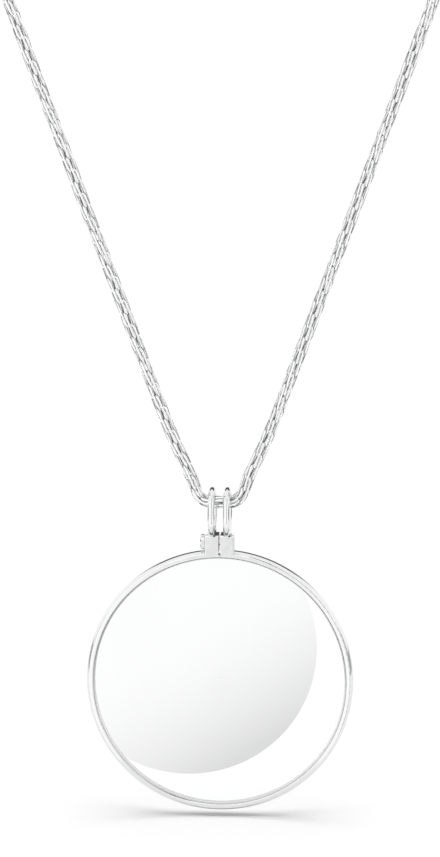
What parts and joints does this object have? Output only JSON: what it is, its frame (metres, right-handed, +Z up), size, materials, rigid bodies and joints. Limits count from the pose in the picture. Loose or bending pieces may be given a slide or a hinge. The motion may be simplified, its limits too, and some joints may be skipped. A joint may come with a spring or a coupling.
{
  "type": "magnifier pendant necklace",
  "caption": "Round magnifying lens in a slim split rim with a clamping block and twin bail rings, hung on a tubular mesh chain.",
  "frame": {"origin": "middle of the clasp at the nape, where the chain lies on the back of the neck", "axes": "+Z up, -Y towards the wearer's front, +X to the right of a person who looks at the pendant"},
  "size_m": [0.132, 0.1244, 0.294],
  "materials": {
    "polished_silver": "mirror polished white silver",
    "lens_glass": "clear polished optical glass",
    "screw_steel": "turned bright steel",
    "chain_silver": "polished white silver wire links",
    "clasp_silver": "polished white silver"
  },
  "bodies": {
    "necklace": {"chain_right": "chain_silver", "chain_left": "chain_silver", "clasp": "clasp_silver"},
    "pendant": {"frame": "polished_silver", "lens": "lens_glass", "closing_screw": "screw_steel"}
  },
  "joints": [
    {"name": "pendant_swing", "type": "hinge", "parent": "necklace", "child": "pendant", "pos_m": [0, -0.118, -0.236], "axis": [1, 0, 0], "range_deg": [-90, 90]}
  ]
}
